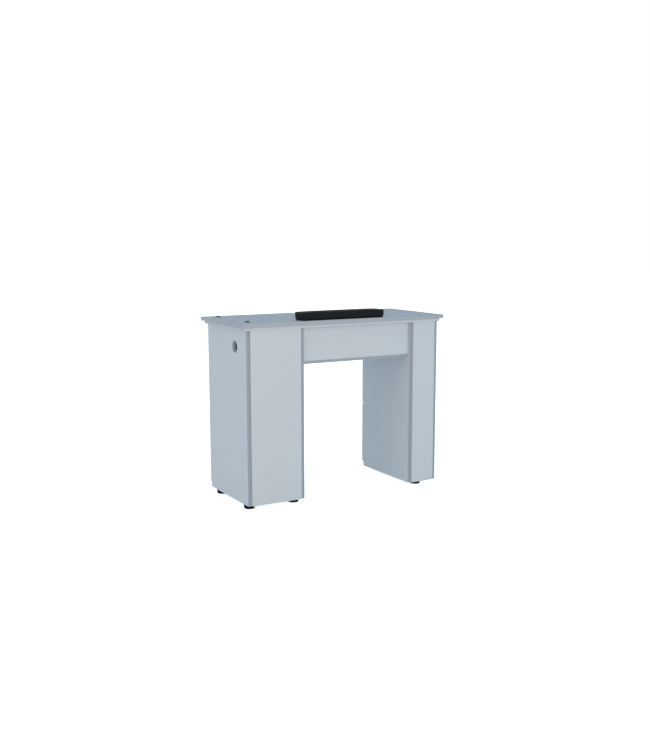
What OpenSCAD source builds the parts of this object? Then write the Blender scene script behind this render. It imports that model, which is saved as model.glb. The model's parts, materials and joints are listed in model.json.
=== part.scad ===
// Manicure table: two pedestals on glide feet, a knee space between them, a two-layer top with an
// arm rest for the client, and drawers and a door on the technician's side.
// X runs along the table, -Y is the client's side, +Y the technician's side, Z is up.
// The origin is on the floor, in the middle of the table's outline with the pulls counted in.

/* [Overall] */
// Length of the table top, along X
table_l = 978; // [900:1:1100]
// Depth of the table top, along Y
table_d = 427; // [400:1:480]
// Height of the top's upper face above the floor
table_h = 768; // [740:1:800]

/* [Boards] */
// Thickness of the main boards
board_t = 16; // [16:0.5:18]
// Thickness of the layer under the top slab
sub_top_t = 13; // [12:0.5:16]
// Thickness of the floor of the centre bay
centre_floor_t = 12; // [12:0.5:15]
// How far the top slab stands past the layer under it on the long sides
slab_over = 11; // [6:1:16]
// How far the top slab stands past the layer under it at each end
slab_over_end = 13; // [6:1:16]
// How far the layer under the slab stands past the pedestals at each end
sub_over_end = 11; // [6:1:14]
// How far the layer under the slab stands past the board faces on both long sides
sub_proud = 1; // [0:0.5:3]
// Corner radius of the top slab
slab_r = 3; // [3:1:12]
// Corner radius of the layer under the slab
sub_top_r = 3; // [2:1:6]
// Thickness of the slab's edge band
slab_band_t = 2; // [1:0.5:2]
// Thickness of the edge bands on the client's side
band_t = 1; // [0.5:0.5:2]

/* [Pedestals] */
// Width of the left pedestal
left_w = 260; // [240:1:300]
// Width of the right pedestal
right_w = 146; // [140:1:180]
// How far the client-side boards stand past the pedestal panels' edges
front_board_proud = 6; // [3:1:8]
// How far the apron stands back from the pedestal panels' edges
apron_back = 10; // [6:1:14]
// Height of the apron's lower edge above the floor
apron_z = 600; // [580:1:620]
// Diameter of the cable port in the left pedestal
port_d = 50; // [30:1:60]
// Distance of the cable port from the client-side edge of its panel
port_back = 110; // [90:1:120]
// Height of the cable port's centre
port_z = 666; // [640:1:680]

/* [Drawers and door] */
// Gap between the boards and the backs of the drawer fronts and the door
front_gap = 3; // [3:0.5:4]
// Gap between neighbouring fronts
front_split = 4; // [4:0.5:6]
// How far the fronts stand back from the pedestals' faces
front_inset = 4; // [4:0.5:5]
// Height of the gap under the top row of drawer fronts
top_row_z = 609; // [600:1:615]
// Height of the gap between the two lower fronts of the right pedestal
right_split_z = 324; // [300:1:340]
// Height of the lower edge of the lowest fronts
fronts_z = 42; // [40:1:45]
// Length of the left drawer's box, short enough to leave a cable bay in front of it
left_box_l = 235; // [200:1:240]
// Length of the other drawers' boxes
box_l = 330; // [300:1:340]
// Thickness of the drawer walls
wall_t = 12; // [10:1:12]
// Height of the walls of the shallow drawers
shallow_h = 90; // [60:1:90]
// Height of the walls of the deep drawers
deep_h = 200; // [120:1:210]

/* [Pulls] */
// Distance between the posts of a pull
pull_c = 64; // [48:1:70]
// Length of a pull's bar
pull_l = 96; // [90:1:110]
// Diameter of a pull's bar
pull_d = 10; // [8:1:12]
// Distance from a front to the middle of the bar
pull_out = 21; // [18:1:24]

/* [Arm rest] */
// Length of the arm rest
rest_l = 394; // [380:1:460]
// Depth of the arm rest
rest_d = 72; // [60:1:100]
// Height of the arm rest, with its base
rest_h = 34; // [30:1:42]
// Distance of the arm rest's middle from the middle of the table, along X
rest_x = -18; // [-40:1:40]
// Distance of the arm rest's face from the slab's client-side edge
rest_back = 7; // [6:1:20]

/* [Feet] */
// Height of the visible part of a foot, which is also the height of the panels' lower edges
foot_h = 21; // [18:1:24]
// Diameter of a foot at its upper face
foot_d = 48; // [40:1:50]
// Diameter of a foot on the floor
foot_floor_d = 44; // [34:1:46]
// Distance of a foot from the pedestal's faces at the ends
foot_in_x = 28; // [28:1:36]
// Distance of a foot from the panels' edges on the long sides
foot_in_y = 50; // [40:1:60]

/* [Hidden] */
$fn = 64;

// Colours
light = [0.72, 0.77, 0.81];
mid = [0.58, 0.64, 0.69];
edging = [0.54, 0.60, 0.65];
white = [0.93, 0.93, 0.92];
black = [0.10, 0.11, 0.12];
steel = [0.70, 0.71, 0.72];
zinc = [0.62, 0.63, 0.64];
hardboard = [0.82, 0.78, 0.70];

// Overhangs and the planes across the table, from the client's side to the technician's
pull_reach = pull_out + pull_d / 2;
slab_y0 = -(table_d + pull_reach - slab_over - sub_proud) / 2;
slab_y1 = slab_y0 + table_d;
sub_y0 = slab_y0 + slab_over;
sub_y1 = slab_y1 - slab_over;
face_y0 = sub_y0 + sub_proud;
panel_y0 = face_y0 + front_board_proud;
front_y1 = sub_y1 - sub_proud;
front_y0 = front_y1 - board_t;
panel_y1 = front_y0 - front_gap;
inner_y0 = face_y0 + board_t;
apron_y0 = panel_y0 + apron_back;
apron_y1 = apron_y0 + board_t;

// Planes along the table, from left to right
end_x = table_l / 2 - slab_over_end - sub_over_end;
left_x0 = -end_x;
left_x1 = left_x0 + left_w;
right_x1 = end_x;
right_x0 = right_x1 - right_w;
left_in0 = left_x0 + board_t;
left_in1 = left_x1 - board_t;
right_in0 = right_x0 + board_t;
right_in1 = right_x1 - board_t;

// Heights
slab_t = 16;
slab_z = table_h - slab_t;
top_z = slab_z - sub_top_t;
floor_lift = 16;
floor_z = foot_h + floor_lift;
floor_top_z = floor_z + board_t;
left_divider_z = top_row_z - board_t / 2;
right_divider_z = right_split_z - board_t / 2;
shelf_z = 330;
shelf_gap = 0.5;
shelf_back = 20;
shelf_short = 8;
top_row_z0 = top_row_z + front_split / 2;
top_row_z1 = top_z - 3;
under_row_z1 = top_row_z - front_split / 2;
centre_front_z = apron_z - centre_floor_t + 2;

// Drawer boxes: [bay's left wall, bay's right wall, underside, wall height, length]
box_lift = 8;
upper_row_z = left_divider_z + board_t + box_lift;
left_box = [left_in0, left_in1, upper_row_z, shallow_h, left_box_l];
centre_box = [left_x1, right_x0, apron_z + box_lift, shallow_h, box_l];
upper_box = [right_in0, right_in1, upper_row_z, shallow_h, box_l];
middle_box = [right_in0, right_in1, right_divider_z + board_t + box_lift, deep_h, box_l];
lower_box = [right_in0, right_in1, floor_top_z + box_lift, deep_h, box_l];

// Drawers: [front's left and right edge, front's lower and upper edge, box, pull's place]
left_front_x = [left_x0 + front_inset, left_x1 - front_inset];
centre_front_x = [left_x1, right_x0];
right_front_x = [right_x0 + front_inset, right_x1 - front_inset];
upper_pull_z = (top_row_z0 + top_row_z1) / 2;
deep_pull_drop = 50;
middle_front_z0 = right_split_z + front_split / 2;
lower_front_z1 = right_split_z - front_split / 2;
function drawer(x, z0, z1, b, pull_z) = [x, z0, z1, b, [(x[0] + x[1]) / 2, front_y1, pull_z]];
left_drawer = drawer(left_front_x, top_row_z0, top_row_z1, left_box, upper_pull_z);
centre_drawer = drawer(centre_front_x, centre_front_z, top_row_z1, centre_box, upper_pull_z);
upper_drawer = drawer(right_front_x, top_row_z0, top_row_z1, upper_box, upper_pull_z);
middle_drawer = drawer(right_front_x, middle_front_z0, under_row_z1, middle_box,
    under_row_z1 - deep_pull_drop);
lower_drawer = drawer(right_front_x, fronts_z, lower_front_z1, lower_box,
    lower_front_z1 - deep_pull_drop);
drawers = [left_drawer, centre_drawer, upper_drawer, middle_drawer, lower_drawer];

// Pulls
stud_d = 4;
stud_l = 12;
post_d = 8;
door_pull_in = 30;
door_pull_drop = 110;
door_pull = [left_front_x[1] - door_pull_in, front_y1, under_row_z1 - door_pull_drop];

// Drawer bottoms sit in grooves
bottom_t = 3;
groove_in = 5;
groove_fit = 0.1;
groove_z = 9;

// Drawer slides: a fixed rail on the bay's wall and a runner on the drawer's wall
slide_space = 12.7;
rail_h = 27;
rail_w = 10;
rail_t = 1.2;
slide_fit = 0.3;
runner_in = 3;
slide_z = 36;
slide_short = 10;

// Knock-down fittings
cam_d = 15;
cam_in = 34;
cam_short = 3.5;
bolt_d = 7;
bolt_thread_d = 5;
bolt_thread_l = 11;
bolt_tip = 3;
bolt_fit = 0.1;
cam_back = 60;
block_w = 22;
block_lip = 5;
block_h = 16;
block_zs = [foot_h + 60, 430, 560];
block_ys = [inner_y0 + 90, panel_y1 - 90];
pin_d = 5;
pin_in = 8;
pin_out = 8;

// Door pivots, above and below the door
pivot_in = 5.5;
pivot_x = left_x0 + front_inset + pivot_in;
pivot_y = (front_y0 + front_y1) / 2;
pivot_pin_d = 4;
pivot_fit = 0.05;
bush_d = 6;
bush_l = 14;
bracket_t = 1.5;
bracket_w = 12;
bracket_drop = 14;
bracket_lead = 6;
bracket_gap = 1.2;
tab_z = fronts_z - bracket_gap - bracket_t;
pivot_pin_l = bracket_t + bracket_gap + bush_l - 1;
bracket_screw_z = tab_z - bracket_drop / 2;
bracket_screw_head_d = 6;
bracket_screw_d = 3;
bracket_screw_l = 14;

// Door catch and its strike plate
catch_l = 40;
catch_w = 14;
catch_h = 12;
catch_in = 60;
catch_x = left_in1 - catch_in;
strike_t = 1.5;
strike_gap = 0.5;
strike_h = 18;

// Caps that close two post holes in the top, near its left end
cap_d = 19;
cap_h = 4;
cap_bevel = 1;
cap_hole_d = 13;
cap_x = left_x0 + 35;
cap_ys = [panel_y0 + 61, panel_y0 + 356];

// Screws
screw_d = 4;
screw_head_d = 8;
screw_head_h = 2.5;
foot_screw_l = 30;
rest_screw_grip = 4;
rest_screw_in = 110;

// Arm rest
rest_base_t = 5;
rest_base_in = 4;
rest_r = 6;
rest_y = slab_y0 + rest_back + rest_d / 2;
rest_screw_y = apron_y1 + screw_head_d / 2 + 3;

// Feet stand under the corners of the left pedestal and on the middle of the right one
spigot_d = 18;
spigot_fit = 0.2;
foot_bevel = 2;
foot_xs = [left_x0 + foot_in_x, left_x1 - foot_in_x, (right_x0 + right_x1) / 2];
foot_ys = [panel_y0 + foot_in_y, panel_y1 - foot_in_y];

// Cam sites: [x of the board's end, way into the board, y, underside, thickness]
cam_ys = [inner_y0 + cam_back, panel_y1 - cam_back];
function ends(x0, x1, z, t) = [for (y = cam_ys) each [[x0, 1, y, z, t], [x1, -1, y, z, t]]];
left_floor_cams = ends(left_in0, left_in1, floor_z, board_t);
left_divider_cams = ends(left_in0, left_in1, left_divider_z, board_t);
right_floor_cams = ends(right_in0, right_in1, floor_z, board_t);
right_upper_cams = ends(right_in0, right_in1, left_divider_z, board_t);
right_lower_cams = ends(right_in0, right_in1, right_divider_z, board_t);
centre_cams = ends(left_x1, right_x0, apron_z - centre_floor_t, centre_floor_t);
all_cams = concat(left_floor_cams, left_divider_cams, right_floor_cams, right_upper_cams,
    right_lower_cams, centre_cams);

// A board between two corners
module board(x0, x1, y0, y1, z0, z1) {
    translate([x0, y0, z0]) cube([x1 - x0, y1 - y0, z1 - z0]);
}

// A flat rectangle with round corners, centred
module round_rect(l, d, r) {
    square([l - 2 * r, d], center = true);
    square([l, d - 2 * r], center = true);
    for (sx = [-1, 1], sy = [-1, 1]) translate([sx * (l / 2 - r), sy * (d / 2 - r)]) circle(r);
}

// A round bar along X, from x = 0
module bar_x(d, l) {
    rotate([0, 90, 0]) cylinder(d = d, h = l);
}

// A profile in the X-Z plane, run along Y
module run_y(y0, y1) {
    translate([0, y1, 0]) rotate([90, 0, 0]) linear_extrude(y1 - y0) children();
}

// One cam's pocket and its bolt's hole in a horizontal board
module cam_cut(s) {
    translate([s[0] + s[1] * cam_in, s[2], s[3] - 1]) {
        cylinder(d = cam_d + bolt_fit, h = s[4] - cam_short + 1 + bolt_fit);
    }
    translate([s[0] - 1 - (s[1] < 0 ? cam_in - 1 : 0), s[2], s[3] + s[4] / 2]) {
        bar_x(bolt_d + bolt_fit, cam_in + 1);
    }
}

module cam_cuts(sites) {
    for (s = sites) cam_cut(s);
}

// The threaded holes that the cam bolts leave in the upright panels
module bolt_cuts() {
    for (s = all_cams) {
        translate([s[0] - (s[1] > 0 ? bolt_thread_l + bolt_fit : 0), s[2], s[3] + s[4] / 2]) {
            bar_x(bolt_thread_d + bolt_fit, bolt_thread_l + bolt_fit);
        }
    }
}

// ---- Top ----

module cap_holes(z0, z1) {
    for (y = cap_ys) translate([cap_x, y, z0 - 1]) cylinder(d = cap_hole_d, h = z1 - z0 + 2);
}

// Screw holes of the arm rest, through the two layers of the top
module rest_screw_holes(z0, z1) {
    for (sx = [-1, 1]) {
        translate([rest_x + sx * rest_screw_in, rest_screw_y, z0 - 1]) {
            cylinder(d = screw_d, h = z1 - z0 + 2);
        }
    }
}

module top_slab() {
    color(mid) difference() {
        translate([0, (slab_y0 + slab_y1) / 2, slab_z]) linear_extrude(slab_t) {
            round_rect(table_l - 2 * slab_band_t, table_d - 2 * slab_band_t, slab_r - slab_band_t);
        }
        cap_holes(slab_z, table_h);
        rest_screw_holes(slab_z, table_h);
    }
}

module slab_edge_band() {
    color(mid) translate([0, (slab_y0 + slab_y1) / 2, slab_z]) linear_extrude(slab_t) difference() {
        round_rect(table_l, table_d, slab_r);
        round_rect(table_l - 2 * slab_band_t, table_d - 2 * slab_band_t, slab_r - slab_band_t);
    }
}

module sub_top() {
    color(light) difference() {
        translate([0, (sub_y0 + sub_y1) / 2, top_z]) linear_extrude(sub_top_t) {
            round_rect(table_l - 2 * slab_over_end, sub_y1 - sub_y0, sub_top_r);
        }
        cap_holes(top_z, slab_z);
        rest_screw_holes(top_z, slab_z);
    }
}

module hole_caps() {
    color(black) for (y = cap_ys) translate([cap_x, y, 0]) {
        translate([0, 0, top_z]) cylinder(d = cap_hole_d, h = table_h - top_z);
        translate([0, 0, table_h]) {
            cylinder(d = cap_d, h = cap_h - cap_bevel);
            translate([0, 0, cap_h - cap_bevel]) {
                cylinder(d1 = cap_d, d2 = cap_d - 2 * cap_bevel, h = cap_bevel);
            }
        }
    }
}

// ---- Pedestals ----

module panel(x0) {
    board(x0, x0 + board_t, panel_y0 + band_t, panel_y1, foot_h, top_z);
}

module shelf_pin_holes() {
    for (y = [inner_y0 + cam_back, panel_y1 - cam_back]) {
        translate([left_in0 - pin_in, y, shelf_z - pin_d / 2]) {
            bar_x(pin_d, left_in1 - left_in0 + 2 * pin_in);
        }
    }
}

// The place of the screws that hold the pivot brackets
module bracket_screws() {
    above_and_below() translate([pivot_x, panel_y1, bracket_screw_z]) children();
}

module left_outer_panel() {
    color(light) difference() {
        panel(left_x0);
        bracket_screws() rotate([90, 0, 0]) cylinder(d = bracket_screw_d, h = bracket_screw_l);
        translate([left_x0 - 1, panel_y0 + port_back, port_z]) bar_x(port_d, board_t + 2);
        bolt_cuts();
        shelf_pin_holes();
    }
}

module left_inner_panel() {
    color(light) difference() {
        panel(left_in1);
        bolt_cuts();
        shelf_pin_holes();
    }
}

module right_inner_panel() {
    color(light) difference() {
        panel(right_x0);
        bolt_cuts();
    }
}

module right_outer_panel() {
    color(light) difference() {
        panel(right_in1);
        bolt_cuts();
    }
}

// The dark bands on the client-side edges of the panels and of the centre floor
module edge_bands() {
    color(edging) {
        for (x = [left_x0, left_in1, right_x0, right_in1]) {
            board(x, x + board_t, panel_y0, panel_y0 + band_t, foot_h, top_z);
        }
        board(left_x1, right_x0, apron_y0, apron_y0 + band_t, apron_z - centre_floor_t, apron_z);
    }
}

module left_front_board() {
    color(light) board(left_in0, left_in1, face_y0, inner_y0, foot_h, top_z);
}

module right_front_board() {
    color(light) board(right_in0, right_in1, face_y0, inner_y0, foot_h, top_z);
}

module apron() {
    color(light) board(left_x1, right_x0, apron_y0, apron_y1, apron_z, top_z);
}

module centre_floor() {
    color(light) difference() {
        board(left_x1, right_x0, apron_y0 + band_t, panel_y1, apron_z - centre_floor_t, apron_z);
        cam_cuts(centre_cams);
    }
}

module level_board(x0, x1, z, sites) {
    difference() {
        board(x0, x1, inner_y0, panel_y1, z, z + board_t);
        cam_cuts(sites);
    }
}

// Holes that the foot screws leave in the floors
module foot_screw_holes() {
    for (x = foot_xs, y = foot_ys) translate([x, y, floor_z - 1]) cylinder(d = screw_d, h = board_t);
}

module left_floor() {
    color(light) difference() {
        level_board(left_in0, left_in1, floor_z, left_floor_cams);
        foot_screw_holes();
    }
}

module left_divider() {
    color(light) level_board(left_in0, left_in1, left_divider_z, left_divider_cams);
}

module left_shelf() {
    color(light) board(left_in0 + shelf_gap, left_in1 - shelf_gap, inner_y0 + shelf_back,
        panel_y1 - shelf_short, shelf_z, shelf_z + board_t);
}

module shelf_pins() {
    color(steel) for (y = [inner_y0 + cam_back, panel_y1 - cam_back]) {
        translate([left_in0 - pin_in, y, shelf_z - pin_d / 2]) bar_x(pin_d, pin_in + pin_out);
        translate([left_in1 - pin_out, y, shelf_z - pin_d / 2]) bar_x(pin_d, pin_in + pin_out);
    }
}

module right_floor() {
    color(light) difference() {
        level_board(right_in0, right_in1, floor_z, right_floor_cams);
        foot_screw_holes();
    }
}

module right_dividers() {
    color(light) {
        level_board(right_in0, right_in1, left_divider_z, right_upper_cams);
        level_board(right_in0, right_in1, right_divider_z, right_lower_cams);
    }
}

// ---- Fittings ----

module cam_nuts() {
    color(zinc) for (s = all_cams) translate([s[0] + s[1] * cam_in, s[2], s[3]]) difference() {
        cylinder(d = cam_d, h = s[4] - cam_short);
        translate([s[1] > 0 ? -cam_d : 0, 0, s[4] / 2]) bar_x(bolt_d + 2 * bolt_fit, cam_d);
    }
}

module cam_bolts() {
    color(zinc) for (s = all_cams) translate([s[0], s[2], s[3] + s[4] / 2]) {
        rotate([0, 0, s[1] > 0 ? 0 : 180]) {
            translate([-bolt_thread_l, 0, 0]) bar_x(bolt_thread_d, bolt_thread_l);
            bar_x(bolt_d, cam_in - bolt_tip);
        }
    }
}

// A plastic block that ties two boards that meet in an inside corner
module corner_block() {
    translate([0, 0, -block_h / 2]) linear_extrude(block_h) {
        polygon([[0, 0], [block_w, 0], [block_w, block_lip], [block_lip, block_w], [0, block_w]]);
    }
}

module front_blocks(x0, x1) {
    for (z = block_zs) {
        translate([x0, inner_y0, z]) corner_block();
        translate([x1, inner_y0, z]) mirror([1, 0, 0]) corner_block();
    }
}

// Blocks under the top, on a pedestal's two inner faces
module top_blocks(x0, x1) {
    for (y = block_ys) {
        translate([x0, y, top_z]) rotate([-90, 0, 0]) corner_block();
        translate([x1, y, top_z]) mirror([1, 0, 0]) rotate([-90, 0, 0]) corner_block();
    }
}

module corner_blocks() {
    color(white) {
        front_blocks(left_in0, left_in1);
        front_blocks(right_in0, right_in1);
        top_blocks(left_in0, left_in1);
        top_blocks(right_in0, right_in1);
        translate([left_x1, apron_y1, top_z - block_h]) corner_block();
        translate([right_x0, apron_y1, top_z - block_h]) mirror([1, 0, 0]) corner_block();
    }
}

module screw(l) {
    cylinder(d = screw_head_d, h = screw_head_h);
    cylinder(d = screw_d, h = l);
}

module wood_screws() {
    color(steel) {
        for (x = foot_xs, y = foot_ys) {
            translate([x, y, floor_z + board_t - cam_short - foot_screw_l]) screw(foot_screw_l);
        }
        for (sx = [-1, 1]) {
            translate([rest_x + sx * rest_screw_in, rest_screw_y, top_z - screw_head_h]) {
                screw(table_h + rest_screw_grip - top_z + screw_head_h);
            }
        }
        bracket_screws() {
            rotate([90, 0, 0]) cylinder(d = bracket_screw_d, h = bracket_screw_l);
            rotate([-90, 0, 0]) cylinder(d = bracket_screw_head_d, h = bracket_t);
        }
    }
}

module feet() {
    screw_z = floor_z + board_t - cam_short - foot_screw_l;
    color(black) for (x = foot_xs, y = foot_ys) translate([x, y, 0]) difference() {
        union() {
            cylinder(d1 = foot_floor_d, d2 = foot_d, h = foot_h - foot_bevel);
            translate([0, 0, foot_h - foot_bevel]) {
                cylinder(d1 = foot_d, d2 = foot_d - foot_bevel, h = foot_bevel - spigot_fit);
            }
            cylinder(d = spigot_d, h = floor_z);
        }
        translate([0, 0, -1]) cylinder(d = screw_head_d + 1, h = screw_z + screw_head_h + 1);
        cylinder(d = screw_d, h = floor_z + 1);
    }
}

// ---- Arm rest ----

module arm_rest_base() {
    color(black) translate([rest_x, rest_y, table_h]) difference() {
        linear_extrude(rest_base_t) {
            round_rect(rest_l - 2 * rest_base_in, rest_d - 2 * rest_base_in, rest_r - rest_base_in);
        }
        for (sx = [-1, 1]) {
            translate([sx * rest_screw_in, rest_screw_y - rest_y, -1]) {
                cylinder(d = screw_d, h = rest_screw_grip + 1);
            }
        }
    }
}

module arm_rest_pad() {
    color(black) translate([rest_x, rest_y, table_h + rest_base_t]) linear_extrude(rest_h - rest_base_t) {
        round_rect(rest_l, rest_d, rest_r);
    }
}

// ---- Drawer slides ----

// A C profile with its open side to the right and its middle on the X axis
module c_section(w, h, t) {
    difference() {
        translate([0, -h / 2]) square([w, h]);
        translate([t, t - h / 2]) square([w, h - 2 * t]);
    }
}

// Draws its children for the bay's left wall and, mirrored, for its right wall
module both_walls(b) {
    for (side = [0, 1]) translate([b[side], 0, b[2] + slide_z]) mirror([side, 0, 0]) children();
}

// The two fixed rails of one drawer
module rail_pair(b) {
    both_walls(b) run_y(front_y0 - b[4] + slide_short, panel_y1) c_section(rail_w, rail_h, rail_t);
}

module drawer_rails() {
    color(zinc) for (d = drawers) rail_pair(d[3]);
}

// ---- Drawers ----

module drawer_front(d) {
    difference() {
        front(d[0], d[1], d[2]);
        translate(d[4]) stud_holes();
    }
}

module front(x, z0, z1) {
    board(x[0], x[1], front_y0, front_y1, z0, z1);
}

// Two sides and an end, with a groove for the bottom board
module drawer_walls(d) {
    b = d[3];
    x0 = b[0] + slide_space;
    x1 = b[1] - slide_space;
    y0 = front_y0 - b[4];
    difference() {
        union() {
            for (x = [x0, x1 - wall_t]) board(x, x + wall_t, y0, front_y0, b[2], b[2] + b[3]);
            board(x0 + wall_t, x1 - wall_t, y0, y0 + wall_t, b[2], b[2] + b[3]);
        }
        bottom_board(b, groove_fit);
    }
}

// A drawer's bottom board, or with a clearance the groove that it sits in
module bottom_board(b, fit) {
    edge = slide_space + wall_t - groove_in;
    y0 = front_y0 - b[4] + wall_t - groove_in;
    z0 = b[2] + groove_z;
    board(b[0] + edge - fit, b[1] - edge + fit, y0 - fit, front_y0 + fit, z0 - fit, z0 + bottom_t + fit);
}

module drawer_bottom(d) {
    bottom_board(d[3], 0);
}

// The two runners on a drawer's walls, inside the rails
module drawer_runners(d) {
    b = d[3];
    both_walls(b) translate([slide_space, 0, 0]) mirror([1, 0, 0]) {
        run_y(front_y0 - b[4] + slide_short, panel_y1) {
            c_section(slide_space - runner_in, rail_h - 2 * rail_t - 2 * slide_fit, rail_t);
        }
    }
}

// A pull along X whose posts stand on the plane y = 0, with a stud behind each post
module pull() {
    translate([-pull_l / 2, pull_out, 0]) bar_x(pull_d, pull_l);
    for (sx = [-1, 1]) translate([sx * pull_c / 2, 0, 0]) {
        rotate([-90, 0, 0]) cylinder(d = post_d, h = pull_out);
        rotate([90, 0, 0]) cylinder(d = stud_d, h = stud_l);
    }
}

module stud_holes() {
    for (sx = [-1, 1]) translate([sx * pull_c / 2, 1, 0]) {
        rotate([90, 0, 0]) cylinder(d = stud_d, h = stud_l + 2);
    }
}

module drawer_pull(d) {
    translate(d[4]) pull();
}

module left_drawer_front() color(light) drawer_front(left_drawer);
module left_drawer_walls() color(white) drawer_walls(left_drawer);
module left_drawer_bottom() color(hardboard) drawer_bottom(left_drawer);
module left_drawer_runners() color(zinc) drawer_runners(left_drawer);
module left_drawer_pull() color(steel) drawer_pull(left_drawer);

module centre_drawer_front() color(light) drawer_front(centre_drawer);
module centre_drawer_walls() color(white) drawer_walls(centre_drawer);
module centre_drawer_bottom() color(hardboard) drawer_bottom(centre_drawer);
module centre_drawer_runners() color(zinc) drawer_runners(centre_drawer);
module centre_drawer_pull() color(steel) drawer_pull(centre_drawer);

module upper_drawer_front() color(light) drawer_front(upper_drawer);
module upper_drawer_walls() color(white) drawer_walls(upper_drawer);
module upper_drawer_bottom() color(hardboard) drawer_bottom(upper_drawer);
module upper_drawer_runners() color(zinc) drawer_runners(upper_drawer);
module upper_drawer_pull() color(steel) drawer_pull(upper_drawer);

module middle_drawer_front() color(light) drawer_front(middle_drawer);
module middle_drawer_walls() color(white) drawer_walls(middle_drawer);
module middle_drawer_bottom() color(hardboard) drawer_bottom(middle_drawer);
module middle_drawer_runners() color(zinc) drawer_runners(middle_drawer);
module middle_drawer_pull() color(steel) drawer_pull(middle_drawer);

module lower_drawer_front() color(light) drawer_front(lower_drawer);
module lower_drawer_walls() color(white) drawer_walls(lower_drawer);
module lower_drawer_bottom() color(hardboard) drawer_bottom(lower_drawer);
module lower_drawer_runners() color(zinc) drawer_runners(lower_drawer);
module lower_drawer_pull() color(steel) drawer_pull(lower_drawer);

// ---- Door ----

// Draws what stands below the door there, and mirrored above it
module above_and_below() {
    children();
    translate([0, 0, fronts_z + under_row_z1]) mirror([0, 0, 1]) children();
}

// A flange on the outer panel's edge and a tab that reaches under the door
module pivot_brackets() {
    color(zinc) above_and_below() difference() {
        union() {
            board(pivot_x - bracket_w / 2, pivot_x + bracket_w / 2, panel_y1,
                panel_y1 + bracket_t, tab_z - bracket_drop, tab_z + bracket_t);
            board(pivot_x - bracket_w / 2, pivot_x + bracket_w / 2, panel_y1,
                pivot_y + bracket_lead, tab_z, tab_z + bracket_t);
        }
        translate([pivot_x, pivot_y, tab_z - 1]) cylinder(d = pivot_pin_d, h = bracket_t + 2);
        translate([pivot_x, panel_y1 - 1, bracket_screw_z]) {
            rotate([-90, 0, 0]) cylinder(d = bracket_screw_head_d, h = bracket_t + 2);
        }
    }
}

module pivot_pins() {
    color(steel) above_and_below() translate([pivot_x, pivot_y, tab_z]) {
        cylinder(d = pivot_pin_d, h = pivot_pin_l);
    }
}

module left_door() {
    color(light) difference() {
        front(left_front_x, fronts_z, under_row_z1);
        above_and_below() translate([pivot_x, pivot_y, fronts_z - 1]) cylinder(d = bush_d, h = bush_l + 1);
        translate(door_pull) rotate([0, 90, 0]) stud_holes();
    }
}

module left_door_bushes() {
    color(white) above_and_below() translate([pivot_x, pivot_y, fronts_z]) difference() {
        cylinder(d = bush_d, h = bush_l);
        translate([0, 0, -1]) cylinder(d = pivot_pin_d + 2 * pivot_fit, h = bush_l + 2);
    }
}

module left_door_pull() {
    color(steel) translate(door_pull) rotate([0, 90, 0]) pull();
}

module door_catch() {
    catch_y1 = front_y0 - strike_t - strike_gap;
    color(black) board(catch_x, catch_x + catch_l, catch_y1 - catch_w, catch_y1,
        left_divider_z - catch_h, left_divider_z);
}

module left_door_strike() {
    color(zinc) board(catch_x, catch_x + catch_l, front_y0 - strike_t, front_y0,
        left_divider_z - strike_h, left_divider_z);
}

top_slab();
slab_edge_band();
sub_top();
left_outer_panel();
left_inner_panel();
right_inner_panel();
right_outer_panel();
edge_bands();
left_front_board();
right_front_board();
apron();
centre_floor();
left_floor();
left_divider();
left_shelf();
shelf_pins();
right_floor();
right_dividers();
cam_nuts();
cam_bolts();
corner_blocks();
wood_screws();
hole_caps();
feet();
arm_rest_base();
arm_rest_pad();
drawer_rails();
pivot_brackets();
pivot_pins();
door_catch();
left_drawer_front();
left_drawer_walls();
left_drawer_bottom();
left_drawer_runners();
left_drawer_pull();
left_door();
left_door_bushes();
left_door_strike();
left_door_pull();
centre_drawer_front();
centre_drawer_walls();
centre_drawer_bottom();
centre_drawer_runners();
centre_drawer_pull();
upper_drawer_front();
upper_drawer_walls();
upper_drawer_bottom();
upper_drawer_runners();
upper_drawer_pull();
middle_drawer_front();
middle_drawer_walls();
middle_drawer_bottom();
middle_drawer_runners();
middle_drawer_pull();
lower_drawer_front();
lower_drawer_walls();
lower_drawer_bottom();
lower_drawer_runners();
lower_drawer_pull();
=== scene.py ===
"""The looks of the manicure table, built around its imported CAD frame.

Every length is in metres. Places come from the CAD nodes' boxes, so each piece sits where its node is.
Most boards and fittings are their CAD solids with softened edges. The edge band, feet, caps, pulls,
cams, screws and the arm rest's cushion are made anew, and each stands for its CAD node.
"""

import json
import math

import bmesh
import bpy
from mathutils import Matrix, Vector


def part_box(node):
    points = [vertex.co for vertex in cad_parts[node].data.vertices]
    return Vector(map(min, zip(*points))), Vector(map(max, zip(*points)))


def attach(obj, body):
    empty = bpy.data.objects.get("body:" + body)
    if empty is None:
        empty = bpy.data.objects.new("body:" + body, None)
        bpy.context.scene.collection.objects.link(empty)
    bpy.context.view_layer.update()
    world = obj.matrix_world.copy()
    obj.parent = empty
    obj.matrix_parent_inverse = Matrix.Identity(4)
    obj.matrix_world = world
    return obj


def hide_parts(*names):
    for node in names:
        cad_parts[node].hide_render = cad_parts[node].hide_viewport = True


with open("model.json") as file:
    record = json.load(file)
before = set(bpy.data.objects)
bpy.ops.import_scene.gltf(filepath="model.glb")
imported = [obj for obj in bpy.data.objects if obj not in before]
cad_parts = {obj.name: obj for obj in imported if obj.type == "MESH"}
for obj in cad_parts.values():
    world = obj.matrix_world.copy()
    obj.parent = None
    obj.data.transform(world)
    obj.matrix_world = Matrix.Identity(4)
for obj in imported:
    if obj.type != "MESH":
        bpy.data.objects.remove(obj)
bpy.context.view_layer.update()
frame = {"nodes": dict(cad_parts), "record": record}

MM = 0.001
WELD = 0.005 * MM  # points closer than this are one point
TOUCH = 0.02 * MM  # what is closer than this to a side lies on it
DRAWERS = ("left", "centre", "upper", "middle", "lower")


# ---- Camera, floor and light ----

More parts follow.
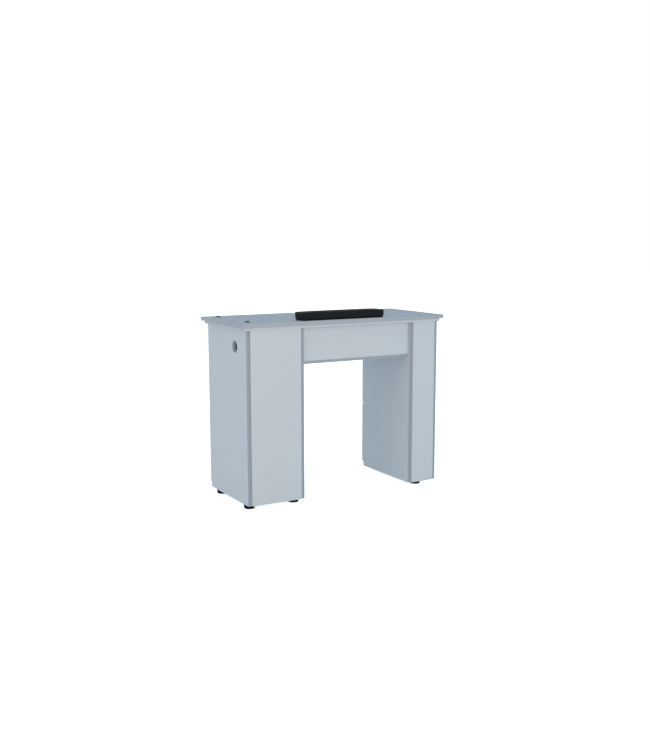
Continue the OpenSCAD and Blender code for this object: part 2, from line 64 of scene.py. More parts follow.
CAMERA_PLACE = (-2.0698, -3.6740, 1.1064)
CAMERA_DOWN = 9.0
CAMERA_RIGHT = 30.06
LENS = 46.33
SHIFT = (-0.0124, 0.0198)

# The surround is bluish and the lights are warm, so that faces keep the laminate's cool grey.
AMBIENT = (0.638, 0.742, 0.831)
FLOOR_GLOW = 0.2
FLOOR_GLOW_SEEN = 0.75
WARM = (1.0, 0.657, 0.455)
WARMER = (1.0, 0.60, 0.317)


def make_camera():
    data = bpy.data.cameras.new("camera")
    data.sensor_width = 36
    data.lens = LENS
    data.shift_x, data.shift_y = SHIFT
    camera = bpy.data.objects.new("camera", data)
    camera.location = CAMERA_PLACE
    camera.rotation_euler = (math.radians(90 - CAMERA_DOWN), 0, math.radians(-CAMERA_RIGHT))
    bpy.context.scene.collection.objects.link(camera)
    bpy.context.scene.camera = camera


def area_light(name, place, target, size, power, colour):
    """A square light that faces a target."""
    data = bpy.data.lights.new(name, "AREA")
    data.shape = "RECTANGLE"
    data.size = data.size_y = size
    data.energy = power
    data.color = colour
    light = bpy.data.objects.new(name, data)
    light.location = place
    light.rotation_euler = (Vector(target) - Vector(place)).to_track_quat("-Z", "Y").to_euler()
    bpy.context.scene.collection.objects.link(light)


def make_studio():
    """A white surround that lights the table in a bluish tone, three lights and a floor."""
    scene = bpy.context.scene
    scene.view_settings.view_transform = "Standard"
    scene.view_settings.look = "None"
    world = bpy.data.worlds.new("studio")
    world.use_nodes = True
    tree = world.node_tree
    seen = tree.nodes.new("ShaderNodeLightPath").outputs["Is Camera Ray"]
    paper = tree.nodes.new("ShaderNodeMix")
    paper.data_type = "RGBA"
    paper.inputs[6].default_value = (*AMBIENT, 1)
    paper.inputs[7].default_value = (1, 1, 1, 1)
    tree.links.new(seen, paper.inputs[0])
    tree.links.new(paper.outputs[2], tree.nodes["Background"].inputs["Color"])
    scene.world = world
    area_light("key", (-0.6, -4.6, 1.6), (0, 0, 0.5), size=1.8, power=64, colour=WARM)
    area_light("side", (-3.2, -1.0, 2.0), (-0.4, 0, 0.6), size=1.2, power=17, colour=WARMER)
    area_light("back", (-0.1, 4.3, 1.0), (0, 0, 0.4), size=1.8, power=30, colour=WARM)
    bpy.ops.mesh.primitive_plane_add(size=40)
    floor = bpy.context.object
    floor.name = "floor"
    floor.data.materials.append(floor_material())


# ---- Materials ----

# The tint of the gloss on black pieces, which keeps the warm lights from turning them brown.
COOL = (0.66, 0.86, 1.0)


class Shader:
    """A new material's nodes, with short calls for the few kinds that the table needs."""

    def __init__(self, name, colour, roughness, metallic=0.0, specular=0.5, gloss=(1, 1, 1)):
        self.material = bpy.data.materials.new(name)
        self.material.use_nodes = True
        self.tree = self.material.node_tree
        self.principled = self.tree.nodes["Principled BSDF"]
        self.set("Base Color", (*colour, 1))
        self.set("Roughness", roughness)
        self.set("Metallic", metallic)
        self.set("Specular IOR Level", specular)
        self.set("Specular Tint", (*gloss, 1))
        self.coordinates = self.tree.nodes.new("ShaderNodeTexCoord").outputs["Object"]

    def set(self, socket, value):
        self.principled.inputs[socket].default_value = value

    def link(self, output, socket):
        self.tree.links.new(output, socket)

    def stretched(self, scale):
        """The object's coordinates, scaled along X, Y and Z."""
        mapping = self.tree.nodes.new("ShaderNodeMapping")
        mapping.inputs["Scale"].default_value = scale
        self.link(self.coordinates, mapping.inputs["Vector"])
        return mapping.outputs["Vector"]

    def noise(self, scale, detail=2.0, vector=None):
        node = self.tree.nodes.new("ShaderNodeTexNoise")
        node.inputs["Scale"].default_value = scale
        node.inputs["Detail"].default_value = detail
        self.link(vector or self.coordinates, node.inputs["Vector"])
        return node.outputs["Fac"]

    def cells(self, scale, feature="F1", output="Distance", vector=None):
        node = self.tree.nodes.new("ShaderNodeTexVoronoi")
        node.feature = feature
        node.inputs["Scale"].default_value = scale
        self.link(vector or self.coordinates, node.inputs["Vector"])
        return node.outputs[output]

    def span(self, value, low, high, start=0.3, end=0.7):
        """value from start to end, spread over low to high."""
        node = self.tree.nodes.new("ShaderNodeMapRange")
        node.inputs["From Min"].default_value = start
        node.inputs["From Max"].default_value = end
        node.inputs["To Min"].default_value = low
        node.inputs["To Max"].default_value = high
        self.link(value, node.inputs["Value"])
        return node.outputs["Result"]

    def tones(self, value, colours, start=0.3, end=0.7):
        """A colour ramp over value, its colours evenly spread from start to end."""
        node = self.tree.nodes.new("ShaderNodeValToRGB")
        ramp = node.color_ramp
        while len(ramp.elements) < len(colours):
            ramp.elements.new(0.5)
        for i, colour in enumerate(colours):
            ramp.elements[i].position = start + (end - start) * i / (len(colours) - 1)
            ramp.elements[i].color = (*colour, 1)
        self.link(value, node.inputs["Fac"])
        return node.outputs["Color"]

    def grey(self, colour):
        """The brightness of a colour output."""
        node = self.tree.nodes.new("ShaderNodeRGBToBW")
        self.link(colour, node.inputs["Color"])
        return node.outputs["Val"]

    def averaged(self, first, second):
        """The average of two colour outputs."""
        node = self.tree.nodes.new("ShaderNodeMix")
        node.data_type = "RGBA"
        node.inputs[0].default_value = 0.5
        self.link(first, node.inputs[6])
        self.link(second, node.inputs[7])
        return node.outputs[2]

    def bump(self, height, strength, depth, below=None):
        node = self.tree.nodes.new("ShaderNodeBump")
        node.inputs["Strength"].default_value = strength
        node.inputs["Distance"].default_value = depth
        self.link(height, node.inputs["Height"])
        if below is not None:
            self.link(below, node.inputs["Normal"])
        return node.outputs["Normal"]

    def use(self, **sockets):
        names = {"colour": "Base Color", "roughness": "Roughness", "normal": "Normal"}
        for name, output in sockets.items():
            self.link(output, self.principled.inputs[names[name]])
        return self.material


def shaded(colour, factor):
    return tuple(min(1.0, c * factor) for c in colour)


def laminate(name, colour, roughness=0.42, fleck=0.03):
    """Melamine-faced board: a fine pearl fleck over slow, faint clouds, and a shallow emboss."""
    s = Shader(name, colour, roughness, specular=0.15)
    flecks = s.tones(s.noise(900, 2), [shaded(colour, 1 - fleck), colour, shaded(colour, 1 + fleck)])
    clouds = s.tones(s.noise(4, 3), [shaded(colour, 0.985), shaded(colour, 1.015)])
    emboss = s.bump(s.noise(420, 2), 0.10, 0.1 * MM)
    return s.use(
        colour=s.averaged(flecks, clouds),
        roughness=s.span(s.noise(35, 3), roughness - 0.04, roughness + 0.05),
        normal=s.bump(s.cells(650, "SMOOTH_F1"), 0.06, 0.08 * MM, emboss),
    )


def edge_band(name, colour):
    """Plastic edge band: drawn out lengthwise, so its marks run along it."""
    s = Shader(name, colour, 0.45, specular=0.15)
    streaks = s.noise(1.0, 4, s.stretched((25, 25, 1400)))
    return s.use(
        colour=s.tones(streaks, [shaded(colour, 0.97), shaded(colour, 1.03)]),
        roughness=s.span(s.noise(60, 3), 0.34, 0.44),
        normal=s.bump(streaks, 0.08, 0.05 * MM),
    )


def particle_core(name, colour):
    """A board's cut edge: pressed chips in a tinted core."""
    s = Shader(name, colour, 0.85, specular=0.2)
    chips = s.grey(s.cells(420, output="Color", vector=s.stretched((1, 1, 1.8))))
    return s.use(
        colour=s.tones(chips, [shaded(colour, 0.72), colour, shaded(colour, 1.2)], 0.2, 0.8),
        roughness=s.span(chips, 0.78, 0.92),
        normal=s.bump(s.cells(420), 0.5, 0.25 * MM),
    )


def fibreboard(name, colour):
    """Thin hardboard: fine felted fibres with a few darker strands."""
    s = Shader(name, colour, 0.7, specular=0.3)
    fibres = s.noise(1.0, 5, s.stretched((90, 700, 700)))
    return s.use(
        colour=s.tones(fibres, [shaded(colour, 0.85), colour, shaded(colour, 1.06)], 0.35, 0.65),
        roughness=s.span(s.noise(80), 0.62, 0.75),
        normal=s.bump(fibres, 0.2, 0.1 * MM),
    )


def zinc(name, colour):
    """Zinc-plated steel: faint spangles and a soft, uneven gloss."""
    s = Shader(name, colour, 0.35, metallic=1.0)
    spangle = s.grey(s.cells(140, output="Color"))
    return s.use(
        colour=s.tones(spangle, [shaded(colour, 0.92), shaded(colour, 1.06)], 0.2, 0.8),
        roughness=s.span(s.noise(90, 4), 0.28, 0.46),
        normal=s.bump(s.noise(260, 3), 0.06, 0.05 * MM),
    )


def brushed(name, colour, roughness=0.3):
    """Steel brushed along the piece's own X axis."""
    s = Shader(name, colour, roughness, metallic=1.0)
    lines = s.noise(1.0, 6, s.stretched((18, 2600, 2600)))
    return s.use(
        colour=s.tones(lines, [shaded(colour, 0.9), shaded(colour, 1.05)]),
        roughness=s.span(lines, roughness - 0.08, roughness + 0.12),
        normal=s.bump(lines, 0.12, 0.03 * MM),
    )


def plastic(name, colour, roughness, specular, gloss=(1, 1, 1)):
    """Moulded plastic with a fine spark-eroded grain."""
    s = Shader(name, colour, roughness, specular=specular, gloss=gloss)
    return s.use(
        colour=s.tones(s.noise(30, 3), [shaded(colour, 0.9), shaded(colour, 1.1)]),
        roughness=s.span(s.noise(120, 4), roughness - 0.06, roughness + 0.08),
        normal=s.bump(s.noise(1500, 3), 0.25, 0.06 * MM),
    )


def stained_ply(name, colour):
    """Black-stained plywood: faint grain along X, and plies that show as lines on its edges."""
    s = Shader(name, colour, 0.6, specular=0.12, gloss=COOL)
    grain = s.noise(1.0, 5, s.stretched((12, 260, 1200)))
    return s.use(
        colour=s.tones(grain, [shaded(colour, 0.6), colour, shaded(colour, 1.9)], 0.3, 0.75),
        roughness=s.span(grain, 0.5, 0.72),
        normal=s.bump(grain, 0.25, 0.1 * MM),
    )


def vinyl(name, colour):
    """Upholstery vinyl: a dull pebbled grain with finer pores, and painted shade in the creases between
    its pebbles.
    """
    s = Shader(name, colour, 0.55, specular=0.05, gloss=COOL)
    pebbles = s.cells(620, "DISTANCE_TO_EDGE")
    creases = s.bump(s.span(pebbles, 0, 1, 0.0, 0.18), 0.35, 0.18 * MM)
    return s.use(
        # Painted shade and light: the colour darkens into the creases between pebbles and lightens on
        # their raised tops.
        colour=s.tones(pebbles, [shaded(colour, 0.65), colour, shaded(colour, 1.15)], 0.0, 0.3),
        roughness=s.span(s.noise(160, 2), 0.44, 0.58),
        normal=s.bump(s.noise(1800, 2), 0.12, 0.05 * MM, creases),
    )


def floor_material():
    """Plain white paper, lit up for the camera so that it meets the white behind it."""
    s = Shader("floor", (0.9, 0.9, 0.9), 0.9, specular=0.0)
    s.set("Emission Color", (1, 1, 1, 1))
    glow = s.tree.nodes.new("ShaderNodeMapRange")
    glow.inputs["To Min"].default_value = FLOOR_GLOW
    glow.inputs["To Max"].default_value = FLOOR_GLOW_SEEN
    s.link(s.tree.nodes.new("ShaderNodeLightPath").outputs["Is Camera Ray"], glow.inputs["Value"])
    s.link(glow.outputs["Result"], s.principled.inputs["Emission Strength"])
    return s.use(colour=s.tones(s.noise(3, 2), [(0.89, 0.89, 0.89), (0.91, 0.91, 0.91)]))


LIGHT = (0.45, 0.525, 0.575)
MID = (0.307, 0.365, 0.419)
EDGING = (0.262, 0.326, 0.382)
BLACK = (0.006, 0.008, 0.010)
MATERIALS = {
    "light_laminate": laminate("light_laminate", LIGHT),
    "top_laminate": laminate("top_laminate", MID, 0.40, 0.04),
    "edge_banding": edge_band("edge_banding", MID),
    "panel_edging": edge_band("panel_edging", EDGING),
    "white_melamine": laminate("white_melamine", (0.86, 0.86, 0.85), 0.38, 0.01),
    "hardboard": fibreboard("hardboard", (0.62, 0.54, 0.42)),
    "zinc_steel": zinc("zinc_steel", (0.62, 0.63, 0.64)),
    "plain_steel": brushed("plain_steel", (0.60, 0.60, 0.61), 0.36),
    "pull_steel": brushed("pull_steel", (0.66, 0.66, 0.65), 0.28),
    "black_plastic": plastic("black_plastic", BLACK, 0.6, 0.08, COOL),
    "white_plastic": plastic("white_plastic", (0.80, 0.80, 0.77), 0.42, 0.5),
    "black_board": stained_ply("black_board", BLACK),
    "black_vinyl": vinyl("black_vinyl", (0.011, 0.014, 0.0155)),
}
CORE = particle_core("board_core", (0.30, 0.34, 0.37))
SLOTS = {p["node"]: p["material_slot"] for p in frame["record"]["subparts"]}
BODIES = {node: body for body, nodes in frame["record"]["behaviour"]["bodies"].items() for node in nodes}
FRONTS = {f"{d}_drawer_pull": f"{d}_drawer_front" for d in DRAWERS}
FRONTS["left_door_pull"] = "left_door"


def paint_nodes():
    """Every CAD node takes the material of its own slot."""
    for name, node in frame["nodes"].items():
        node.data.materials.clear()
        node.data.materials.append(MATERIALS[SLOTS[name]])


# ---- Pieces ----

def stand_in(name, mesh, materials=()):
    """A piece with its own mesh that rides and is finished as the CAD node that it stands for."""
    piece = bpy.data.objects.new(name + "_shape", mesh)
    bpy.context.scene.collection.objects.link(piece)
    mesh.materials.clear()
    for material in (MATERIALS[SLOTS[name]], *materials):
        mesh.materials.append(material)
    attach(piece, BODIES[name])
    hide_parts(name)
    return piece


def finish_mesh(bm, name):
    mesh = bpy.data.meshes.new(name)
    bm.normal_update()
    bm.to_mesh(mesh)
    bm.free()
    return mesh


def finish_solid(bm, name, weld=True):
    """The mesh of a newly made closed shape, its faces turned outwards."""
    if weld:
        bmesh.ops.remove_doubles(bm, verts=bm.verts, dist=WELD)
    bmesh.ops.recalc_face_normals(bm, faces=bm.faces)
    return finish_mesh(bm, name)


def shells(bm):
    """The mesh's separate shells, as lists of faces."""
    left = set(bm.faces)
    found = []
    while left:
        stack = [left.pop()]
        shell = []
        while stack:
            face = stack.pop()
            shell.append(face)
            for edge in face.edges:
                for other in edge.link_faces:
                    if other in left:
                        left.remove(other)
                        stack.append(other)
        found.append(shell)
    return found


def corners_of(faces):
    """The lowest and the highest corner of the faces' box."""
    points = [v.co for f in faces for v in f.verts]
    low = Vector([min(p[i] for p in points) for i in range(3)])
    high = Vector([max(p[i] for p in points) for i in range(3)])
    return low, high


def node_shells(name):
    """The boxes of a CAD node's separate solids."""
    bm = bmesh.new()
    bm.from_mesh(frame["nodes"][name].data)
    bmesh.ops.remove_doubles(bm, verts=bm.verts, dist=WELD)
    found = [corners_of(shell) for shell in shells(bm)]
    bm.free()
    return sorted(found, key=lambda box: tuple(box[0]))


def on_side(point, low, high):
    """Whether a point lies on a side of a box."""
    return any(min(point[i] - low[i], high[i] - point[i]) < TOUCH for i in range(3))


def soften(name, width, shortest=20 * MM, corner_r=0.0, cored=False, cut_below=False):
    """A CAD node's solids with their long edges rounded.

    shortest is the length from which an edge is rounded. corner_r is the radius of an outline's round
    corners, whose short edges are rounded too. The walls of holes and grooves show the board's core
    where cored is set, and so does the lower face where cut_below is.
    """
    bm = bmesh.new()
    bm.from_mesh(frame["nodes"][name].data)
    bmesh.ops.remove_doubles(bm, verts=bm.verts, dist=WELD)
    bmesh.ops.dissolve_limit(bm, angle_limit=math.radians(0.5), verts=bm.verts, edges=bm.edges)
    bm.normal_update()
    edges = []
    for shell in shells(bm):
        low, high = corners_of(shell)
        for face in shell:
            middle = face.calc_center_median()
            if (cored and not on_side(middle, low, high)) or (cut_below and middle.z - low.z < TOUCH):
                face.material_index = 1
        for edge in {e for f in shell for e in f.edges}:
            if not edge.is_convex or edge.calc_face_angle(0) < math.radians(60):
                continue
            middle = (edge.verts[0].co + edge.verts[1].co) / 2
            on_rim = min(middle.z - low.z, high.z - middle.z) < TOUCH
            in_from_side = min(middle.x - low.x, high.x - middle.x, middle.y - low.y, high.y - middle.y)
            on_corner = corner_r > 0 and on_rim and in_from_side < corner_r
            if edge.calc_length() > shortest or on_corner:
                edges.append(edge)
    for face in bm.faces:
        face.smooth = False
    made = bmesh.ops.bevel(
        bm, geom=edges, offset=width, segments=3, profile=0.5, affect="EDGES", clamp_overlap=True,
        material=0,
    )
    for face in made["faces"]:
        face.smooth = True
    return stand_in(name, finish_mesh(bm, name), [CORE] if cored else [])


def circle(bm, radius, height, place, turns):
    """The points of a circle about Z, put in place by a matrix."""
    angles = [math.tau * k / turns for k in range(turns)]
    return [bm.verts.new(place @ Vector((radius * math.cos(a), radius * math.sin(a), height)))
            for a in angles]


def bridge(bm, lower, upper):
    """The faces between two loops of equally many points."""
    count = len(lower)
    faces = []
    for k in range(count):
        n = (k + 1) % count
        faces.append(bm.faces.new([lower[k], lower[n], upper[n], upper[k]]))
    return faces


def fan(bm, tip, loop):
    """The faces between a point and a loop. finish_solid later turns them all outwards."""
    return [bm.faces.new([tip, point, loop[(k + 1) % len(loop)]]) for k, point in enumerate(loop)]


def lathe(bm, profile, place, turns):
    """A closed profile of (radius, height) pairs, turned about Z and put in place by a matrix."""
    rings = []
    for radius, height in profile:
        if radius < 1e-6:
            rings.append([bm.verts.new(place @ Vector((0, 0, height)))])
        else:
            rings.append(circle(bm, radius, height, place, turns))
    for lower, upper in zip(rings, rings[1:]):
        if len(lower) == 1:
            faces = fan(bm, lower[0], upper)
        elif len(upper) == 1:
            faces = fan(bm, upper[0], lower)
        else:
            faces = bridge(bm, lower, upper)
        for face in faces:
            face.smooth = True


def arc(cx, cy, r, start, end, steps=5):
    """Points of an arc from start to end, in degrees."""
    return [
        (cx + r * math.cos(math.radians(start + (end - start) * i / steps)),
         cy + r * math.sin(math.radians(start + (end - start) * i / steps)))
        for i in range(steps + 1)
    ]


def along(axis, place):
    """A matrix that turns Z to an axis and moves to a place."""
    return Matrix.Translation(place) @ Vector(axis).to_track_quat("Z", "Y").to_matrix().to_4x4()


def outline(low, high, r, inset):
    """A rounded rectangle, drawn in by inset, as a list of (x, y)."""
    r = max(r - inset, 0.05 * MM)
    x0, y0, x1, y1 = low.x + inset + r, low.y + inset + r, high.x - inset - r, high.y - inset - r
    centres = [(x1, y1), (x0, y1), (x0, y0), (x1, y0)]
    return [p for k, (x, y) in enumerate(centres) for p in arc(x, y, r, 90 * k, 90 * k + 90, 8)]


def slab_band():
    """The top slab's thick edge band, its two outer edges well rounded."""
    low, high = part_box("slab_edge_band")
    low, high = Vector(low), Vector(high)
    inner_low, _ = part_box("top_slab")
    thick = inner_low[0] - low.x
    corner_r = 3 * MM
    r = 1.5 * MM
    section = (
        [(thick, low.z), (r, low.z)] + arc(r, low.z + r, r, 270, 180)[1:]
        + [(0, high.z - r)] + arc(r, high.z - r, r, 180, 90)[1:] + [(thick, high.z)]
    )
    bm = bmesh.new()
    rings = []
    for inset, z in section:
        rings.append([bm.verts.new((x, y, z)) for x, y in outline(low, high, corner_r, inset)])
    for i, lower in enumerate(rings):
        for face in bridge(bm, lower, rings[(i + 1) % len(rings)]):
            face.smooth = 0 < i < len(rings) - 2
    return stand_in("slab_edge_band", finish_solid(bm, "slab_edge_band", weld=False))


def feet():
    """Turned glide feet: a rounded skirt, a flat tread and a recess for the screw."""
    bm = bmesh.new()
    skirt_top = 20.8 * MM
    skirt_r = 2 * MM
    stem = 9 * MM
    stem_top = 37 * MM
    hole = 2 * MM
    recess = 4.5 * MM
    recess_top = 16.5 * MM
    lead = 0.6 * MM
    for low, high in node_shells("feet"):
        middle = (low + high) / 2
        r = (high.x - low.x) / 2
        tread = r - skirt_r
        profile = [(hole, stem_top - 1 * MM), (hole, recess_top), (recess, recess_top), (recess, lead),
                   (recess + lead, 0)]
        profile += arc(tread - skirt_r, skirt_r, skirt_r, 270, 350)
        profile += arc(r - skirt_r, skirt_top - skirt_r, skirt_r, 0, 90)
        profile += [(stem, skirt_top), (stem, stem_top), (hole, stem_top), (hole, stem_top - 1 * MM)]
        lathe(bm, profile, Matrix.Translation((middle.x, middle.y, 0)), 64)
    return stand_in("feet", finish_solid(bm, "feet"))


def hole_caps():
    """Caps with a straight rim and a low dome, their stems in the post holes."""
    bm = bmesh.new()
    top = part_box("top_slab")[1][2]
    stem = 6.4 * MM
    shoulder = 1.0 * MM
    dome = 0.7 * MM
    steps = 6
    for low, high in node_shells("hole_caps"):
        r = (high.x - low.x) / 2
        flat = high.z - dome
        profile = [(0, low.z), (stem - 0.4 * MM, low.z), (stem, low.z + 0.5 * MM), (stem, top),
                   (r - 0.3 * MM, top), (r, top + 0.3 * MM)]
        profile += arc(r - shoulder, flat - shoulder, shoulder, 0, 90, steps)
        for i in range(1, steps + 1):
            out = 1 - i / steps
            profile.append(((r - shoulder) * out, high.z - dome * out ** 2))
        lathe(bm, profile, Matrix.Translation(((low.x + high.x) / 2, (low.y + high.y) / 2, 0)), 48)
    return stand_in("hole_caps", finish_solid(bm, "hole_caps"))


def pull(name):
    """A bar pull: a turned bar with chamfered ends on two posts with collars and screws."""
    low, high = (Vector(c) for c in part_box(name))
    upright = high.z - low.z > high.x - low.x
    way = Vector((0, 0, 1)) if upright else Vector((1, 0, 0))
    half = (high.z - low.z if upright else high.x - low.x) / 2
    bar_r = 5 * MM
    chamfer = 1.0 * MM
    post_r = 4 * MM
    post_out = 32 * MM
    collar_r = post_r + 1.5 * MM
    collar_h = 1.2 * MM
    screw_r = 2 * MM
    screw_deep = 11.5 * MM
    face_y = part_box(FRONTS[name])[1][1]
    bar = Vector(((low.x + high.x) / 2, high.y - bar_r, (low.z + high.z) / 2))
    reach = bar.y - face_y
    bm = bmesh.new()
    profile = [(0, -half), (bar_r - chamfer, -half), (bar_r, -half + chamfer), (bar_r, half - chamfer),
               (bar_r - chamfer, half), (0, half)]
    lathe(bm, profile, along(way, bar), 40)
    profile = [(0, -screw_deep), (screw_r - 0.4 * MM, -screw_deep), (screw_r, -screw_deep + 0.5 * MM),
               (screw_r, 0), (collar_r - 0.3 * MM, 0), (collar_r, 0.3 * MM), (collar_r, collar_h)]
    profile += arc(collar_r, collar_h + 1.5 * MM, 1.5 * MM, 270, 180)
    profile += [(post_r, reach - bar_r), (post_r, reach), (0, reach)]
    for side in (-1, 1):
        foot = bar + way * side * post_out
        foot.y = face_y
        lathe(bm, profile, along((0, 1, 0), foot), 32)
    return stand_in(name, sharpened(finish_solid(bm, name, weld=False)))


def sharpened(mesh):
    """The mesh with its shading split at its sharp edges."""
    sharp = math.radians(35)
    bm = bmesh.new()
    bm.from_mesh(mesh)
    for edge in bm.edges:
        edge.smooth = edge.calc_face_angle(0) < sharp
    bm.to_mesh(mesh)
    bm.free()
    return mesh


def drive_head(bm, place, r, height, cross, deep, edge=0.4 * MM):
    """A round head from z = 0 to height, with a cross-shaped driver recess in its face."""
    turns = 40
    lathe(bm, [(0, 0), (r, 0), (r, height - edge), (r - edge, height)], place, turns)
    rim = circle(bm, r - edge, height, place, turns)
    long, wide = cross
    quarter = [(long, -wide), (long, wide), (wide, wide)]
    plan = []
    for k in range(4):
        c, s = round(math.cos(k * math.pi / 2)), round(math.sin(k * math.pi / 2))
        plan += [(x * c - y * s, x * s + y * c) for x, y in quarter]
    upper = [bm.verts.new(place @ Vector((x, y, height))) for x, y in plan]
    lower = [bm.verts.new(place @ Vector((x * 0.75, y * 0.75, height - deep))) for x, y in plan]
    ring = []
    for loop in (rim, upper):
        ring += [bm.edges.new((loop[k], loop[(k + 1) % len(loop)])) for k in range(len(loop))]
    bmesh.ops.triangle_fill(bm, edges=ring, use_beauty=True, use_dissolve=False)
    bridge(bm, upper, lower)
    bm.faces.new(lower)


def cam_nuts():
    """Cam drums with their cross recess showing under the boards."""
    bm = bmesh.new()
    sunk = 0.3 * MM
    cross = (4.2 * MM, 1.0 * MM)
    for low, high in node_shells("cam_nuts"):
        place = along((0, 0, -1), ((low.x + high.x) / 2, (low.y + high.y) / 2, high.z))
        drive_head(bm, place, (high.y - low.y) / 2, high.z - low.z - sunk, cross, 3 * MM)
    return stand_in("cam_nuts", sharpened(finish_solid(bm, "cam_nuts")))


def wood_screws():
    """Screws with a cross recess; each shank runs on from its head.

    The pivot brackets' small screws lie along Y. All others stand, with their heads below.
    """
    bm = bmesh.new()
    for low, high in node_shells("wood_screws"):
        size = high - low
        middle = (low + high) / 2
        if size.y > size.x * 1.3:
            head_r, head_h, shank_r, edge = 3 * MM, 1.5 * MM, 1.5 * MM, 0.5 * MM
            cross, deep = (1.9 * MM, 0.45 * MM), 0.9 * MM
            place = along((0, 1, 0), (middle.x, high.y - head_h, middle.z))
            length = size.y - head_h
        else:
            head_r, head_h, shank_r, edge = 4 * MM, 2.5 * MM, 2 * MM, 0.7 * MM
            cross, deep = (2.6 * MM, 0.6 * MM), 1.4 * MM
            place = along((0, 0, -1), (middle.x, middle.y, low.z + head_h))
            length = size.z - head_h
        drive_head(bm, place, head_r, head_h, cross, deep, edge)
        lathe(bm, shank(shank_r, length), place, 24)
    return stand_in("wood_screws", sharpened(finish_solid(bm, "wood_screws")))


def shank(r, length):
    """A pointed, ridged shank behind a head, down from z = 0."""
    root = r * 0.7
    pitch = 1.6 * MM
    neck = 1.0 * MM
    point = 2.5 * MM
    profile = [(0, 0), (r * 0.8, 0)]
    for i in range(int((length - 4 * MM) / pitch)):
        z = -neck - i * pitch
        profile += [(root, z), (r, z - pitch / 2)]
    return profile + [(root, -length + point), (0, -length)]


def arm_rest_pad():
    """The arm rest's cushion: foam under vinyl, blown up a little from a block of its CAD size.

    The block's sides lean out a little upwards, and its top edges are rounded.
    """
    low, high = (Vector(c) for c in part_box("arm_rest_pad"))
    drop = 0.2 * MM
    corner_r = 5 * MM
    top_r = 3 * MM
    foot_r = 0.6 * MM
    lean = -0.8 * MM
    section = [(foot_r - x, low.z + foot_r + z) for x, z in arc(0, 0, foot_r, -90, 0, 2)]
    section += [(lean + top_r - x, high.z - drop - top_r + z) for x, z in arc(0, 0, top_r, 0, 90, 6)]
    bm = bmesh.new()
    rings = [
        [bm.verts.new((x, y, z)) for x, y in outline(low, high, corner_r, inset)]
        for inset, z in section
    ]
    for lower, upper in zip(rings, rings[1:]):
        bridge(bm, lower, upper)
    bm.faces.new(rings[-1])
    bm.faces.new(list(reversed(rings[0])))
    pad = stand_in("arm_rest_pad", finish_solid(bm, "arm_rest_pad", weld=False))
    remesh = pad.modifiers.new("remesh", "REMESH")
    remesh.mode = "VOXEL"
    remesh.voxel_size = 3 * MM
    pad.modifiers.new("even", "SMOOTH")
    bake_modifiers(pad)
    inflate(pad, pressure=4.0, cap=3.5 * MM, held_z=low.z + 4 * MM)
    keep_inside(pad, low, high, beside=1 * MM, above=3 * MM)
    pad.modifiers.new("even", "SMOOTH")
    subdivide = pad.modifiers.new("subdivision", "SUBSURF")
    subdivide.levels = subdivide.render_levels = 1
    bake_modifiers(pad)
    for polygon in pad.data.polygons:
        polygon.use_smooth = True
    return pad


def bake_modifiers(piece):
    """Puts the result of a piece's modifiers in its mesh and takes them off."""
    depsgraph = bpy.context.evaluated_depsgraph_get()
    made = bpy.data.meshes.new_from_object(piece.evaluated_get(depsgraph))
    made.name = piece.data.name + "_made"
    materials = list(piece.data.materials)
    piece.modifiers.clear()
    piece.data = made
    made.materials.clear()
    for material in materials:
        made.materials.append(material)


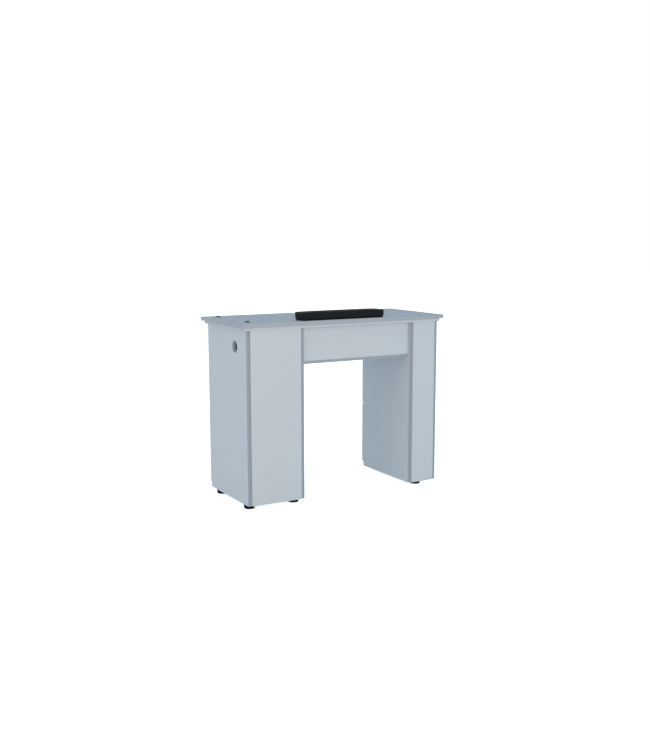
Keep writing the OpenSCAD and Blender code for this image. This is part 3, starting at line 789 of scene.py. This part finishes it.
def inflate(piece, pressure, cap, held_z):
    """Blows a closed shape up with Cloth, by cap at most; what is below held_z stays where it is."""
    last_frame = 20
    start = [v.co.copy() for v in piece.data.vertices]
    group = piece.vertex_groups.new(name="held")
    group.add([i for i, p in enumerate(start) if p.z < held_z], 1.0, "REPLACE")
    cloth = piece.modifiers.new("cloth", "CLOTH")
    settings = cloth.settings
    settings.quality = 6
    settings.mass = 0.3
    settings.vertex_group_mass = "held"
    settings.use_pressure = True
    settings.uniform_pressure_force = pressure
    settings.tension_stiffness = settings.compression_stiffness = 30
    settings.shear_stiffness = 15
    settings.bending_stiffness = 2
    settings.effector_weights.gravity = 0
    cloth.point_cache.frame_start = 1
    cloth.point_cache.frame_end = last_frame
    scene = bpy.context.scene
    for number in range(1, last_frame + 1):
        scene.frame_set(number)
    solved = piece.evaluated_get(bpy.context.evaluated_depsgraph_get())
    swollen = [v.co.copy() for v in solved.to_mesh().vertices]
    solved.to_mesh_clear()
    piece.modifiers.clear()
    piece.vertex_groups.clear()
    scene.frame_set(1)
    moves = [after - before for before, after in zip(start, swollen)]
    share = min(1.0, cap / max(move.length for move in moves))
    for vertex, before, move in zip(piece.data.vertices, start, moves):
        vertex.co = before + move * share


def keep_inside(piece, low, high, beside, above):
    """Holds a soft piece's points within its CAD box and a little beside and above it."""
    lowest = low - Vector((beside, beside, 0))
    highest = high + Vector((beside, beside, above))
    for vertex in piece.data.vertices:
        for i in range(3):
            vertex.co[i] = min(max(vertex.co[i], lowest[i]), highest[i])


def make_pieces():
    """Every piece that gets a new mesh. Nodes not named here keep theirs, with a better material."""
    for name in ("left_outer_panel", "left_inner_panel", "right_inner_panel", "right_outer_panel",
                 "left_front_board", "right_front_board"):
        soften(name, 0.5 * MM, cored=True, cut_below=True)
    soften("sub_top", 0.8 * MM, corner_r=3.2 * MM, cored=True)
    soften("apron", 0.5 * MM, cored=True, cut_below=True)
    for name in ("centre_floor", "left_floor", "left_divider", "left_shelf",
                 "right_floor", "right_dividers"):
        soften(name, 0.4 * MM, cored=True)
    for name in [f"{d}_drawer_front" for d in DRAWERS] + ["left_door"]:
        soften(name, 1.0 * MM, cored=True)
    for drawer in DRAWERS:
        soften(f"{drawer}_drawer_walls", 0.8 * MM, cored=True)
        soften(f"{drawer}_drawer_bottom", 0.3 * MM)
        soften(f"{drawer}_drawer_runners", 0.25 * MM)
        pull(f"{drawer}_drawer_pull")
    pull("left_door_pull")
    soften("edge_bands", 0.4 * MM)
    soften("drawer_rails", 0.25 * MM)
    soften("corner_blocks", 0.8 * MM, shortest=4 * MM)
    soften("pivot_brackets", 0.3 * MM, shortest=5 * MM)
    soften("door_catch", 1.2 * MM, shortest=5 * MM)
    soften("left_door_strike", 0.4 * MM, shortest=5 * MM)
    soften("arm_rest_base", 0.8 * MM, corner_r=9 * MM)
    slab_band()
    feet()
    hole_caps()
    cam_nuts()
    wood_screws()
    arm_rest_pad()


make_camera()
make_studio()
paint_nodes()
make_pieces()
